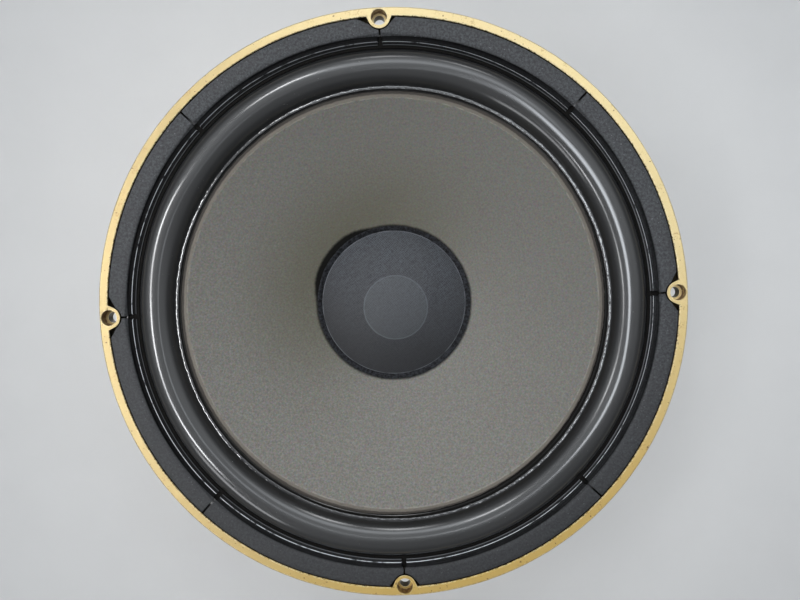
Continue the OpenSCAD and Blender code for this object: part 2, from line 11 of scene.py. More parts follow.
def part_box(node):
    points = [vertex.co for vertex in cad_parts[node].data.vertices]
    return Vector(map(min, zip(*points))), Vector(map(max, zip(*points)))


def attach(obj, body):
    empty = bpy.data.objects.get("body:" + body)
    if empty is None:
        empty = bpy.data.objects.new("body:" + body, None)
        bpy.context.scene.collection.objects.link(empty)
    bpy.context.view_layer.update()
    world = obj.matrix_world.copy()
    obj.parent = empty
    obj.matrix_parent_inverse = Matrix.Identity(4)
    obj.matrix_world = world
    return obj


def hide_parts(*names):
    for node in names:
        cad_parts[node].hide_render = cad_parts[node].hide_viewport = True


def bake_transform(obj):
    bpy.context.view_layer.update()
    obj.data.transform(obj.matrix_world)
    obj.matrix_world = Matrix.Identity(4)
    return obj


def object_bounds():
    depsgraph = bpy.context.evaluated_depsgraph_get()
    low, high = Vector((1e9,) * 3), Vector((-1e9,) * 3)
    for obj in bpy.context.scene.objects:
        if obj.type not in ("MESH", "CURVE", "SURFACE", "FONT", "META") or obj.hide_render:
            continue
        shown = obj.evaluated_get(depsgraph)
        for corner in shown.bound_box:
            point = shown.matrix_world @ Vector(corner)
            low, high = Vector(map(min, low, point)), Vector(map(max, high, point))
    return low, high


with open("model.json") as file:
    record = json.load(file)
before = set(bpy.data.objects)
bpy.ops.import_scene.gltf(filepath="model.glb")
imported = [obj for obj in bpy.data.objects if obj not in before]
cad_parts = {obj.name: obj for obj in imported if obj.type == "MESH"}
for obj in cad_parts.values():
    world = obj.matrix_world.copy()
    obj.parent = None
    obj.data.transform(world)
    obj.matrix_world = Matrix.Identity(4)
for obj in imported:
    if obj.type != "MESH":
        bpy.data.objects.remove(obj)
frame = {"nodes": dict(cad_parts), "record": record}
cad_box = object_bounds()

MM = 0.001
TURN = 2 * math.pi


def low(node):
    """The lowest corner of a CAD node, in millimetres."""
    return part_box(node)[0] / MM


def high(node):
    """The highest corner of a CAD node, in millimetres."""
    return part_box(node)[1] / MM


# Sizes that the frame gives, in millimetres
rim_r = high("frame").x
rim_z = high("frame").z
ledge_z = high("cone").z
surround_r = high("surround").x
gasket_z = high("gasket_segment_1").z
cone_r = high("cone").x
cap_r = high("dust_cap").x
spider_r = high("spider").x
lead_outer_y = low("tinsel_lead_red").y
lead_inner_y = high("tinsel_lead_red").y
lug_bottom_z = low("solder_lug_red").z

# Sizes of the soft and turned pieces, in millimetres
recess_r = 188.2
bolt_r = rim_r - 6.5
boss_r = 7.25
counterbore_r = 5.25
hole_r = 3.5
gasket_face_r = 175.9
gasket_groove_r = 174.75
gasket_bead_r = 173.1
gasket_lip_r = 170.1
rubber_t = 0.8
roll_r = 156.35
roll_half_w = 11.35
roll_h = 9.1
lip_in_r = 141.0
fold_r = 136.9
neck_r = 50.5
neck_z = -46.5
cone_t = 1.2
dome_r = 53.4
dome_h = 13.0
cap_t = 0.8
post_x = 12.0
post_z = -32.0
# How far a glued piece reaches into what carries it
bite = 0.02

# Each terminal's colour, and its side of the middle
TERMINALS = (("red", 1), ("black", -1))

rubber_top_z = ledge_z + rubber_t
cone_slope = (ledge_z - neck_z) / (fold_r - neck_r)
cone_drop = cone_t * math.sqrt(1 + cone_slope ** 2)


def cone_z(r):
    """Height of the cone's front face at a radius."""
    return neck_z + (r - neck_r) * cone_slope


# Camera

# The photograph's upright is turned from the line through the mounting holes
photo_turn = math.radians(2.61)
camera_lens = 29.1
camera_spot = (9.9, 16.2, rim_z + 424.8)
camera_aim = (5.2, 3.45, rim_z)


def turned_to_holes(spot):
    """Turns a place in the photograph's own axes to the part's axes, in metres."""
    x, y, z = spot
    c, s = math.cos(photo_turn), math.sin(photo_turn)
    return Vector((x * c + y * s, y * c - x * s, z)) * MM


def make_camera():
    """The photograph's view, from almost straight above the rim."""
    eye, aim = turned_to_holes(camera_spot), turned_to_holes(camera_aim)
    back = (eye - aim).normalized()
    right = turned_to_holes((0, 1 / MM, 0)).cross(back).normalized()
    up = back.cross(right)
    camera = bpy.data.objects.new("camera", bpy.data.cameras.new("camera"))
    camera.data.lens = camera_lens
    camera.data.clip_start = 0.01
    bpy.context.scene.collection.objects.link(camera)
    camera.matrix_world = Matrix.Translation(eye) @ Matrix((right, up, back)).transposed().to_4x4()
    bpy.context.scene.camera = camera


make_camera()


# Finishes

class Term:
    """A number, colour or vector on its way through a finish's nodes, for use in plain arithmetic."""

    def __init__(self, finish, socket):
        self.finish = finish
        self.socket = socket

    def _math(self, operation, first, second=0.0):
        return self.finish.node("ShaderNodeMath", {"operation": operation}, {0: first, 1: second})

    def __add__(self, other):
        return self._math("ADD", self, other)

    __radd__ = __add__

    def __sub__(self, other):
        return self._math("SUBTRACT", self, other)

    def __rsub__(self, other):
        return self._math("SUBTRACT", other, self)

    def __mul__(self, other):
        return self._math("MULTIPLY", self, other)

    __rmul__ = __mul__

    def __truediv__(self, other):
        return self._math("DIVIDE", self, other)

    def __abs__(self):
        return self._math("ABSOLUTE", self)

    def sine(self):
        return self._math("SINE", self)

    def root(self):
        return self._math("SQRT", self)

    def least(self, other):
        return self._math("MINIMUM", self, other)

    def most(self, other):
        return self._math("MAXIMUM", self, other)


class Nodes:
    """A node tree in the making."""

    def __init__(self, tree):
        self.tree = tree
        self.tree.nodes.clear()

    def node(self, kind, settings, sockets, output=0):
        """Adds a node: its settings come first, then the values or links of its sockets."""
        made = self.tree.nodes.new(kind)
        for name, value in settings.items():
            setattr(made, name, value)
        for name, value in sockets.items():
            if isinstance(value, Term):
                self.tree.links.new(value.socket, made.inputs[name])
            else:
                made.inputs[name].default_value = value
        return Term(self, made.outputs[output]) if made.outputs else None

    def ramp(self, value, start, end):
        """Goes smoothly from 0 at start to 1 at end."""
        sockets = {"Value": value, "From Min": start, "From Max": end}
        return self.node("ShaderNodeMapRange", {"interpolation_type": "SMOOTHSTEP"}, sockets)

    def band(self, value, centre, half_width, soft):
        """Is 1 within half_width of centre and falls softly to 0 outside."""
        return 1 - self.ramp(abs(value - centre), half_width, half_width + soft)

    def mix(self, factor, first, second, blend="MIX"):
        """Mixes two colours."""
        sockets = {0: factor}
        for socket, colour in ((6, first), (7, second)):
            sockets[socket] = colour if isinstance(colour, Term) else (*colour, 1.0)
        return self.node("ShaderNodeMix", {"data_type": "RGBA", "blend_type": blend}, sockets, 2)


def span(x, y):
    """Length of the flat vector that two terms make."""
    return (x * x + y * y).root()


class Finish(Nodes):
    """One material in the making: its nodes, its measures of place and its surface."""

    def __init__(self, name):
        self.material = bpy.data.materials.new(name)
        self.material.use_nodes = True
        super().__init__(self.material.node_tree)
        self.place = self.node("ShaderNodeTexCoord", {}, {}, "Object")
        self.x, self.y, self.z = (
            self.node("ShaderNodeSeparateXYZ", {}, {0: self.place}, axis) / MM for axis in range(3)
        )

    def radius(self):
        """Distance from the part's axis, in millimetres."""
        return span(self.x, self.y)

    def noise(self, size, detail=2.0, roughness=0.5):
        """Cloudy noise from 0 to 1, with lumps of about that size in millimetres."""
        sockets = {"Vector": self.place, "Scale": 1 / (size * MM), "Detail": detail, "Roughness": roughness}
        return self.node("ShaderNodeTexNoise", {}, sockets)

    def soft_edge(self, radius):
        """The surface's normal, with its sharp edges rounded by that many millimetres."""
        return self.node("ShaderNodeBevel", {"samples": 4}, {"Radius": radius * MM})

    def bump(self, height, normal=None):
        """Turns a height in millimetres into a normal."""
        sockets = {"Height": height, "Distance": MM, "Strength": 1.0}
        if normal:
            sockets["Normal"] = normal
        return self.node("ShaderNodeBump", {}, sockets)

    def surface(self, sockets, painted_shade=None):
        """Closes the material with its shader; the last argument is the share of it painted dull black as
        shade.
        """
        shader = self.node("ShaderNodeBsdfPrincipled", {}, sockets)
        if painted_shade:
            black = {"Base Color": (0.004, 0.004, 0.004, 1.0), "Roughness": 1.0, "Specular IOR Level": 0.0}
            dull = self.node("ShaderNodeBsdfPrincipled", {}, black)
            shader = self.node("ShaderNodeMixShader", {}, {0: painted_shade, 1: shader, 2: dull})
        self.node("ShaderNodeOutputMaterial", {}, {"Surface": shader})
        return self.material


def gold_paint(name, cast_height):
    """Satin pale gold paint on cast metal, chipped pale at its edges with a painted highlight there as well,
    stained brown in the screw holes, with painted shade on its near and left sides and in its recess.
    """
    f = Finish(name)
    r = f.radius()
    soft_edge = f.soft_edge(0.7)
    face = f.node("ShaderNodeNewGeometry", {}, {}, "Normal")
    facing = f.node("ShaderNodeVectorMath", {"operation": "DOT_PRODUCT"}, {0: soft_edge, 1: face}, "Value")
    # Pale chips along the edges, with a painted highlight along them as well.
    wear_and_highlight = f.ramp(1 - facing, 0.015, 0.10) * f.ramp(f.noise(2.2, 3), 0.36, 0.56)
    clouds = f.noise(34, 3, 0.6)
    flecks = f.ramp(f.noise(0.9, 2, 0.6), 0.42, 0.78)
    colour = f.mix(clouds, (0.60, 0.47, 0.23), (0.70, 0.57, 0.31))
    colour = f.mix(flecks * 0.25, colour, (0.52, 0.36, 0.13))
    # Painted shade: darker and browner towards the near side.
    nearest = f.ramp(f.x * 0.25 - f.y * 0.97, -20, 200)
    colour = f.mix(nearest * 0.85, colour, (0.49, 0.32, 0.07))
    # Painted shade: darker towards the left.
    left = f.ramp(0 - f.x, 0, 150)
    colour = f.mix(left * 0.75, colour, (0.40, 0.29, 0.12))
    smudge = f.ramp(f.noise(9, 3), 0.56, 0.66) * f.ramp(f.noise(1.3, 2), 0.50, 0.62)
    colour = f.mix(smudge * 0.5, colour, (0.34, 0.20, 0.07))
    specks = f.ramp(f.noise(1.7, 1, 0.3), 0.735, 0.77)
    colour = f.mix(specks * 0.85, colour, (0.12, 0.065, 0.025))
    colour = f.mix(wear_and_highlight * 0.8, colour, (0.93, 0.86, 0.58))
    across, along = abs(f.x), abs(f.y)
    to_hole = span(across - bolt_r, along).least(span(along - bolt_r, across))
    wall = f.band(to_hole, counterbore_r, 0.2, 0.3) * f.ramp(f.z, rim_z - 0.8, rim_z - 2.2)
    stain = wall * (0.45 + 0.55 * f.ramp(f.noise(2.4, 3), 0.36, 0.55))
    colour = f.mix(stain * 0.9, colour, (0.10, 0.035, 0.016))
    below_counterbore = f.ramp(f.z, rim_z - 6.9, rim_z - 7.4)
    deep = (1 - f.ramp(to_hole, hole_r, hole_r + 0.3)) * below_counterbore
    colour = f.mix(deep * 0.85, colour, (0.045, 0.046, 0.034))
    below_rim = f.ramp(f.z, rim_z - 0.4, rim_z - 0.8)
    above_ledge = f.ramp(f.z, ledge_z - 1.2, ledge_z - 0.6)
    outside_hole = f.ramp(to_hole, counterbore_r + 0.25, counterbore_r + 0.55)
    in_recess = (1 - f.ramp(r, recess_r - 0.05, recess_r + 0.2)) * outside_hole
    # Painted shade: the recess below the rim gets a dull black share, and a jagged band at its top edge, like
    # chips, gets the same.
    shadowed = in_recess * below_rim * above_ledge
    nicks_and_gap_shade = f.band(r, recess_r + 0.05, 0.1, 0.45) * f.ramp(f.noise(1.3, 3, 0.6), 0.50, 0.62) * above_ledge
    machined = f.ramp(f.z, -1.0, 0.5)
    grain = f.noise(0.7, 2) * 0.035 + f.noise(3.4, 3, 0.6) * (1 - machined) * cast_height
    return f.surface({
        "Base Color": colour, "Metallic": 0.5, "Roughness": 0.40 + clouds * 0.12 + specks * 0.2,
        "Coat Weight": 0.15, "Coat Roughness": 0.25, "Normal": f.bump(grain, soft_edge),
    }, (shadowed * 0.97).most(nicks_and_gap_shade * 0.85))


def gasket_fibre():
    """Matt charcoal fibre with fine flecks, painted darker on its near side; its groove and lip are painted
    black as shade, and its rolled bead carries a painted pale highlight.
    """
    f = Finish("gasket_fibre")
    r = f.radius()
    felt = f.noise(1.7, 4, 0.75)
    clouds = f.noise(16, 3, 0.6)
    colour = f.mix(f.ramp(felt, 0.32, 0.70), (0.006, 0.007, 0.008), (0.056, 0.059, 0.064))
    colour = f.mix(f.ramp(clouds, 0.35, 0.7) * 0.3, colour, (0.026, 0.024, 0.026))
    flecks = f.ramp(f.noise(1.5, 1), 0.68, 0.74) * f.ramp(clouds, 0.3, 0.6)
    colour = f.mix(flecks * 0.6, colour, (0.17, 0.17, 0.18))
    # Painted shade: darker towards the near side.
    nearest = f.ramp(0 - f.x * 0.3 - f.y, -120, 150)
    colour = f.mix(nearest * 0.55, colour, (0.008, 0.008, 0.009))
    lower_left = f.ramp(f.x + f.y, 120, -220)
    # Painted highlight: a pale broken line on the bead's crown and a fainter one on the lip, stronger at the
    # lower left.
    bead_top = f.band(r + f.x * 0.0018, gasket_bead_r - 0.75, 0.03, 0.22)
    wear_and_highlight = bead_top * f.ramp(f.noise(6, 3), 0.25, 0.5) * (0.6 + lower_left * 0.4)
    wear_and_highlight = wear_and_highlight.most(f.band(r, gasket_lip_r + 0.4, 0.06, 0.25) * 0.25)
    colour = f.mix(wear_and_highlight, colour, (0.85, 0.88, 0.92))
    groove = f.band(r, gasket_groove_r, 0.75, 0.4)
    lip = 1 - f.ramp(r, gasket_bead_r + 0.4, gasket_bead_r + 1.0)
    upper_left = f.ramp(f.y - f.x, -150, 100)
    height = f.noise(0.55, 3, 0.7) * 0.13 * (1 - groove.most(lip)) + clouds * 0.3
    # Painted shade: the groove and the lip get a dull black share, more at the upper left, less under the
    # painted highlight.
    painted_shade = groove * (0.80 + upper_left * 0.12) + lip * (0.68 + upper_left * 0.18 - wear_and_highlight * 0.8)
    return f.surface({
        "Base Color": colour, "Roughness": 0.62 - wear_and_highlight * 0.3, "Specular IOR Level": 0.5,
        "Normal": f.bump(height),
    }, painted_shade)


def roll_rubber():
    """Smooth black rubber with a soft gloss, a little dust and faint smears."""
    f = Finish("roll_rubber")
    smear = f.noise(30, 3, 0.6)
    dust = f.ramp(f.noise(1.1, 1, 0.3), 0.80, 0.83)
    colour = f.mix(smear, (0.003, 0.003, 0.0035), (0.008, 0.008, 0.008))
    colour = f.mix(dust * 0.35, colour, (0.30, 0.30, 0.29))
    height = f.noise(5.0, 2) * 0.014 + f.noise(0.5, 2) * 0.0006
    return f.surface({
        "Base Color": colour, "Roughness": 0.38 + smear * 0.10 + dust * 0.3, "Specular IOR Level": 0.28,
        "Coat Weight": 1.0, "Coat Roughness": 0.15, "Coat IOR": 1.62, "Normal": f.bump(height),
    })


def black_adhesive():
    """Glossy black glue, laid by hand and lumpy."""
    f = Finish("black_adhesive")
    lumps = f.noise(1.5, 3, 0.6)
    knobbly = f.ramp(f.x + f.y * 0.6, -60, 60) * 0.07 + 0.05
    colour = f.mix(lumps, (0.003, 0.003, 0.003), (0.012, 0.012, 0.013))
    height = lumps * knobbly + f.noise(0.5) * 0.01
    return f.surface({
        "Base Color": colour, "Roughness": 0.06 + lumps * 0.12, "Specular IOR Level": 1.0,
        "Normal": f.bump(height),
    })


def glue_and_painted_shade():
    """Dry black glue, painted near-black and dull as the shade in the groove beside the bead, where hardly
    any light gets in.
    """
    f = Finish("glue_and_painted_shade")
    colour = f.mix(f.noise(1.2, 3), (0.002, 0.002, 0.002), (0.010, 0.009, 0.008))
    return f.surface({
        "Base Color": colour, "Roughness": 0.9, "Specular IOR Level": 0.1,
        "Normal": f.bump(f.noise(0.7, 2) * 0.2),
    })


def satin_glue():
    """Black glue that has soaked into the cap's cloth and the cone's paper, satin and uneven."""
    f = Finish("satin_glue")
    patches = f.noise(2.0, 3, 0.6)
    colour = f.mix(f.ramp(patches, 0.35, 0.65), (0.002, 0.002, 0.002), (0.020, 0.021, 0.025))
    return f.surface({
        "Base Color": colour, "Roughness": 0.45 + patches * 0.2, "Specular IOR Level": 0.12,
        "Normal": f.bump(patches * 0.5 + f.noise(0.8, 2) * 0.2),
    })


def cone_felt():
    """Felted grey-brown paper, browner at its glued edge; towards the neck at the upper left it carries an
    olive stain with painted shade, and it has painted shade on its far side and round the cap's foot and a
    painted highlight along the fold.
    """
    f = Finish("cone_felt")
    r = f.radius()
    fibres = f.noise(1.4, 4, 0.8)
    clumps = f.noise(3.6, 4, 0.7)
    clouds = f.noise(46, 3, 0.6)
    colour = f.mix(f.ramp(fibres, 0.28, 0.74), (0.115, 0.111, 0.100), (0.232, 0.224, 0.205))
    colour = f.mix(f.ramp(clumps, 0.3, 0.72) * 0.45, colour, (0.162, 0.150, 0.130))
    # Painted shade: darker towards the far side.
    far_side_shade = f.ramp(f.x * 0.6 + f.y, -150, 150)
    colour = f.mix(far_side_shade * 0.62, colour, (0.118, 0.113, 0.101))
    coloured_noise = {"Vector": f.place, "Scale": 700.0, "Detail": 2.0}
    speckle = f.node("ShaderNodeTexNoise", {}, coloured_noise, "Color")
    colour = f.mix(0.35, colour, speckle, "SOFT_LIGHT")
    upper_left = (f.y - f.x) / 150 + 0.35
    # An olive stain with painted shade: darker towards the neck at the upper left.
    stain_and_shade_in_r, stain_and_shade_out_r = 55, 122
    stain = (1 - f.ramp(r, stain_and_shade_in_r, stain_and_shade_out_r)) * f.ramp(upper_left + clouds * 0.5, 0.1, 1.25)
    colour = f.mix(stain * 0.6, colour, (0.078, 0.072, 0.040))
    # Painted shade round the cap's foot, reaching furthest at the upper left, as colour and as a dull black
    # share.
    cap_shade_in_r, cap_shade_out_r = 56.2, 58.8
    spill = f.ramp((f.y * 0.64 - f.x * 0.77) / r, 0.78, 1.0) * 3.6
    cap_foot_shade = 1 - f.ramp(r - spill + (clumps - 0.5) * 1.4, cap_shade_in_r, cap_shade_out_r)
    colour = f.mix(cap_foot_shade * 0.92, colour, (0.010, 0.010, 0.009))
    edge = f.ramp(r + (clumps - 0.5) * 1.2, fold_r - 0.2, fold_r + 0.6)
    colour = f.mix(edge * 0.8, colour, f.mix(clumps, (0.070, 0.059, 0.048), (0.175, 0.150, 0.122)))
    # A near-black band just beyond the fold, next to the glue groove.
    dark_band_past_fold = f.ramp(r + (clumps - 0.5) * 1.4, fold_r + 1.6, fold_r + 2.5)
    colour = f.mix(dark_band_past_fold * 0.85, colour, (0.022, 0.018, 0.015))
    # Frayed paper along the fold, with a painted highlight: a pale broken line.
    fray_and_fold_highlight = f.band(r + (clumps - 0.5) * 0.9, fold_r - 0.3, 0.15, 0.3) * f.ramp(f.noise(5, 3), 0.36, 0.62)
    colour = f.mix(fray_and_fold_highlight * 0.45, colour, (0.30, 0.28, 0.22))
    height = fibres * 0.14 + clumps * 0.10 + f.noise(0.4, 2) * 0.05
    return f.surface({
        "Base Color": colour, "Roughness": 0.9 - edge * 0.2, "Specular IOR Level": 0.3,
        "Normal": f.bump(height),
    }, cap_foot_shade * 0.8)


def woven(f, pitch):
    """Height of a plain weave, from 0 to 1, whose threads lie that many millimetres apart."""
    drift = (f.noise(9, 2) - 0.5) * pitch * 1.2
    warp = ((f.x + drift) * (math.pi / pitch)).sine()
    weft = ((f.y + drift) * (math.pi / pitch)).sine()
    return warp * weft * 0.5 + 0.5


def slubs(f, turn, width, length):
    """Thick and thin places along threads that run at turn degrees, from 0 to 1."""
    stretch = (1 / (length * MM), 1 / (width * MM), 0.0)
    back = {0: f.place, "Angle": math.radians(-turn)}
    along = f.node("ShaderNodeVectorRotate", {"rotation_type": "Z_AXIS"}, back)
    thread = f.node("ShaderNodeVectorMath", {"operation": "MULTIPLY"}, {0: along, 1: stretch})
    return f.node("ShaderNodeTexNoise", {}, {"Vector": thread, "Scale": 1.0, "Detail": 2.0})


def cap_cloth():
    """Slate grey doped cloth with a visible weave and a paler round patch at its middle, painted darker on
    its near side and with a painted highlight along the dome's edge.
    """
    f = Finish("cap_cloth")
    weave = woven(f, 0.9)
    fuzz = f.noise(1.1, 3, 0.7)
    clouds = f.noise(14, 3, 0.6)
    patch_x, patch_y, patch_r = 1.4, -3.4, 23.2
    from_patch = span(f.x - patch_x, f.y - patch_y) + (f.noise(5, 2) - 0.5) * 0.8
    patch = 1 - f.ramp(from_patch, patch_r - 0.3, patch_r + 0.5)
    threads = slubs(f, 32, 1.1, 8) * 0.6 + slubs(f, -58, 1.1, 6) * 0.4
    tone = weave * 0.15 + fuzz * 0.5 + threads * 0.35
    colour = f.mix(f.ramp(tone, 0.34, 0.62), (0.004, 0.005, 0.007), (0.058, 0.063, 0.073))
    colour = f.mix(f.ramp(clouds, 0.3, 0.7) * 0.35, colour, (0.034, 0.035, 0.037))
    # Painted shade: darker towards the near side.
    nearest = f.ramp(0 - f.x * 0.3 - f.y, -50, 45)
    colour = f.mix(nearest * 0.8, colour, (0.008, 0.008, 0.009))
    colour = f.mix(patch * 0.20, colour, (0.095, 0.103, 0.112))
    colour = f.mix(f.band(from_patch, patch_r, 0.2, 0.5) * 0.35, colour, (0.10, 0.11, 0.12))
    # Painted highlight: a pale broken line round the dome's edge.
    edge = f.ramp(f.radius(), dome_r - 0.8, dome_r - 0.3) * f.ramp(f.noise(9, 2), 0.3, 0.6)
    colour = f.mix(edge * 0.35, colour, (0.22, 0.23, 0.25))
    height = weave * 0.10 + fuzz * 0.06 + threads * 0.25 + patch * 0.12
    return f.surface({
        "Base Color": colour, "Roughness": 0.62 - patch * 0.05, "Specular IOR Level": 0.45,
        "Normal": f.bump(height),
    })


def spider_cloth():
    """Amber cloth stiffened with resin."""
    f = Finish("spider_cloth")
    weave = woven(f, 0.55)
    clouds = f.noise(22, 3, 0.6)
    colour = f.mix(weave, (0.26, 0.145, 0.05), (0.56, 0.36, 0.15))
    colour = f.mix(f.ramp(clouds, 0.35, 0.75) * 0.4, colour, (0.34, 0.20, 0.075))
    return f.surface({
        "Base Color": colour, "Roughness": 0.52 + clouds * 0.2, "Normal": f.bump(weave * 0.12),
    })


def pressed_board():
    """Brown pressed board with a mottled skin."""
    f = Finish("pressed_board")
    fibres = f.noise(1.2, 4, 0.7)
    colour = f.mix(fibres, (0.11, 0.075, 0.045), (0.26, 0.19, 0.12))
    return f.surface({"Base Color": colour, "Roughness": 0.8, "Normal": f.bump(fibres * 0.08)})


def metal(name, dark, pale, rough, lump=0.9, height=0.02):
    """A metal whose colour and gloss drift a little over its surface."""
    f = Finish(name)
    drift = f.noise(lump * 9, 4, 0.65)
    fine = f.noise(lump, 2)
    return f.surface({
        "Base Color": f.mix(f.ramp(drift, 0.3, 0.7), dark, pale), "Metallic": 1.0,
        "Roughness": rough + drift * 0.18 - 0.06, "Normal": f.bump(fine * height),
    })


def copper_winding():
    """Enamelled round wire wound side by side, painted darker in the grooves between turns as shade."""
    f = Finish("copper_winding")
    turn_pitch = 0.55
    # Painted shade: the colour is darker in the grooves between turns.
    groove = (f.z * (TURN / turn_pitch)).sine() * 0.5 + 0.5
    colour = f.mix(groove, (0.30, 0.10, 0.035), (0.78, 0.36, 0.16))
    return f.surface({
        "Base Color": colour, "Metallic": 0.9, "Roughness": 0.28 + f.noise(4) * 0.1,
        "Normal": f.bump(groove * 0.12),
    })


def copper_braid():
    """Tinned and bare copper strands, a little tarnished."""
    f = Finish("copper_braid")
    tarnish = f.noise(3, 3)
    colour = f.mix(f.ramp(tarnish, 0.35, 0.7), (0.80, 0.40, 0.22), (0.42, 0.20, 0.11))
    return f.surface({
        "Base Color": colour, "Metallic": 0.9, "Roughness": 0.3 + tarnish * 0.2,
        "Normal": f.bump(f.noise(0.25, 2) * 0.05),
    })


def phenolic():
    """Brown phenolic sheet with its paper showing faintly."""
    f = Finish("phenolic")
    streaks = f.noise(1.6, 4, 0.7)
    colour = f.mix(streaks, (0.075, 0.030, 0.013), (0.19, 0.088, 0.04))
    return f.surface({
        "Base Color": colour, "Roughness": 0.34 + streaks * 0.2, "Normal": f.bump(f.noise(0.5) * 0.03),
    })


def moulded(name, dark, pale):
    """Moulded plastic with a fine bloom and rubbed edges."""
    f = Finish(name)
    bloom = f.noise(2.4, 3)
    return f.surface({
        "Base Color": f.mix(bloom, dark, pale), "Roughness": 0.26 + bloom * 0.18,
        "Normal": f.bump(f.noise(0.35) * 0.012, f.soft_edge(0.35)),
    })


FINISHES = {
    "rim_paint": gold_paint("rim_paint", 0.35),
    "gasket_felt": gasket_fibre(),
    "surround_rubber": roll_rubber(),
    "cone_paper": cone_felt(),
    "black_adhesive": black_adhesive(),
    "cap_cloth": cap_cloth(),
    "former_foil": metal("former_foil", (0.62, 0.61, 0.58), (0.78, 0.77, 0.74), 0.28),
    "copper_wire": copper_winding(),
    "spider_cloth": spider_cloth(),
    "pressed_board": pressed_board(),
    "plated_steel": metal("plated_steel", (0.42, 0.41, 0.38), (0.62, 0.61, 0.58), 0.34),
    "magnet_alloy": metal("magnet_alloy", (0.22, 0.22, 0.23), (0.36, 0.36, 0.37), 0.46, 1.4, 0.06),
    "cup_paint": gold_paint("cup_paint", 0.5),
    "black_steel": metal("black_steel", (0.035, 0.035, 0.038), (0.09, 0.088, 0.085), 0.36),
    "phenolic": phenolic(),
    "plated_brass": metal("plated_brass", (0.58, 0.48, 0.26), (0.78, 0.70, 0.46), 0.27),
    "red_plastic": moulded("red_plastic", (0.36, 0.016, 0.012), (0.56, 0.03, 0.02)),
    "black_plastic": moulded("black_plastic", (0.012, 0.012, 0.013), (0.03, 0.03, 0.031)),
    "spring_steel": metal("spring_steel", (0.45, 0.45, 0.45), (0.62, 0.62, 0.6), 0.25),
    "copper_braid": copper_braid(),
    "glue_and_painted_shade": glue_and_painted_shade(),
    "satin_glue": satin_glue(),
}


def dress_frame():
    """Gives every carried-over CAD node the finish of its material slot."""
    slots = {part["node"]: part["material_slot"] for part in frame["record"]["subparts"]}
    for name, node in frame["nodes"].items():
        node.data.materials.clear()
        node.data.materials.append(FINISHES[slots[name]])


dress_frame()


# Mesh making

def piece_of(name, points, faces, slot, crease=None, finish=None):
    """Makes a smooth piece from points in millimetres; edges sharper than crease degrees stay sharp.
    A finish is named only where it isn't the slot's own."""
    mesh = bpy.data.meshes.new(name)
    mesh.from_pydata([Vector(p) * MM for p in points], [], faces)
    mesh.materials.append(FINISHES[finish or slot])
    work = bmesh.new()
    work.from_mesh(mesh)
    bmesh.ops.recalc_face_normals(work, faces=work.faces)
    work.to_mesh(mesh)
    work.free()
    mesh.shade_smooth()
    if crease:
        mesh.set_sharp_from_angle(angle=math.radians(crease))
    piece = bpy.data.objects.new(name, mesh)
    bpy.context.scene.collection.objects.link(piece)
    return piece


def loop_faces(loops, count, closed):
    """Faces of a skin over that many loops of count points each; an open skin gets two end faces."""
    faces = []
    for i in range(loops if closed else loops - 1):
        here, there = i * count, (i + 1) % loops * count
        for j in range(count):
            k = (j + 1) % count
            faces.append((here + j, here + k, there + k, there + j))
    if not closed:
        faces.append(tuple(range(count)))
        faces.append(tuple(reversed(range((loops - 1) * count, loops * count))))
    return faces


def swept(name, section, angles, slot, crease=None, finish=None):
    """Sweeps a closed section, worked out at each angle, all the way round the part's axis."""
    points = []
    for angle in angles:
        loop = section(angle)
        points += [(r * math.cos(angle), r * math.sin(angle), z) for r, z in loop]
    return piece_of(name, points, loop_faces(len(angles), len(loop), True), slot, crease, finish)


def round_angles(steps):
    """Even angles of a full turn."""
    return [TURN * i / steps for i in range(steps)]


def wander(angle, rate, seed):
    """A smooth number from -1 to 1 that comes back to itself after a full turn."""
    return noise.noise(Vector((math.cos(angle) * rate, math.sin(angle) * rate, seed)))


def arc(centre, radius, start, end, steps):
    """Points of an arc; its angles are in degrees from straight up, positive outwards."""
    r, z = centre
    turns = [math.radians(start + (end - start) * i / steps) for i in range(steps + 1)]
    return [(r + radius * math.sin(a), z + radius * math.cos(a)) for a in turns]


def eased(start, corner, end):
    """Points of a soft bend from start past corner to end, without its two ends."""
    steps = 5
    found = []
    for i in range(1, steps):
        t = i / steps
        spot = [start[k] * (1 - t) ** 2 + 2 * corner[k] * t * (1 - t) + end[k] * t ** 2 for k in (0, 1)]
        found.append(tuple(spot))
    return found


def thickened(path, thickness):
    """A closed section of even thickness about a path."""
    upper, lower = [], []
    for i, (r, z) in enumerate(path):
        before, after = path[max(i - 1, 0)], path[min(i + 1, len(path) - 1)]
        along = Vector((after[0] - before[0], after[1] - before[1])).normalized()
        off = Vector((-along.y, along.x)) * thickness / 2
        upper.append((r + off.x, z + off.y))
        lower.append((r - off.x, z - off.y))
    return upper + lower[::-1]


def in_sectors(name, node, section, count, steps, slot):
    """Makes a full ring in equal sectors, each shaded with the whole ring's normals."""
    loops = count * steps
    whole = swept(name, section, round_angles(loops), slot)
    points = [v.co / MM for v in whole.data.vertices]
    normals = [v.normal.copy() for v in whole.data.vertices]
    bpy.data.objects.remove(whole)
    width = len(points) // loops
    for number in range(count):
        picked = [(number * steps * width + i) % len(points) for i in range((steps + 1) * width)]
        faces = loop_faces(steps + 1, width, False)
        piece = piece_of(f"{name}_{number + 1:02d}", [points[i] for i in picked], faces, slot)
        shading = []
        for polygon in piece.data.polygons:
            capped = len(polygon.vertices) > 4
            shading += [polygon.normal if capped else normals[picked[v]] for v in polygon.vertices]
        piece.data.normals_split_custom_set(shading)
        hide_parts(node)
        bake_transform(piece)


def upright(place, across):
    """Two directions square to a path's direction and to each other, the first as near across as can be."""
    side = (across - across.project(place)).normalized()
    return side, place.normalized().cross(side)


